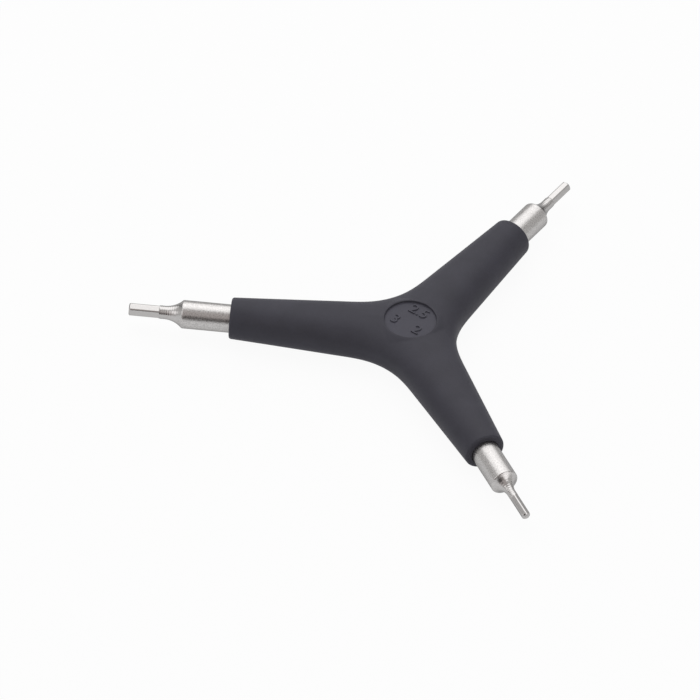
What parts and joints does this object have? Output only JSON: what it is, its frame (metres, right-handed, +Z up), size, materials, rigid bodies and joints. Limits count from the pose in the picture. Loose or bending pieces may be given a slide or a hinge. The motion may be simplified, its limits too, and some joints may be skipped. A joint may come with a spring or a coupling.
{
  "type": "y-shaped hex key",
  "caption": "Y-shaped hex key: a soft-touch grip over a rigid core, with a steel bit on each arm that flares down from a round shank to a hexagon of its own size.",
  "frame": {"origin": "middle of the flat land under the hub, on which the key lies", "axes": "+Z up, square to the plane of the arms and away from the land; -X along the arm with the 3 mm hexagon; the 2.5 mm arm points to +X +Y and the 2 mm arm to +X -Y"},
  "size_m": [0.104, 0.1183, 0.0109],
  "materials": {
    "grip_rubber": "matt soft-touch with a fine moulded grain",
    "core_plastic": "plain moulded, hidden under the grip",
    "bit_steel": "satin nickel: fine-blasted shank, bright hexagon"
  },
  "bodies": {
    "root": {"grip": "grip_rubber", "handle_core": "core_plastic", "hex_bit_3mm": "bit_steel", "hex_bit_2_5mm": "bit_steel", "hex_bit_2mm": "bit_steel"}
  },
  "joints": []
}
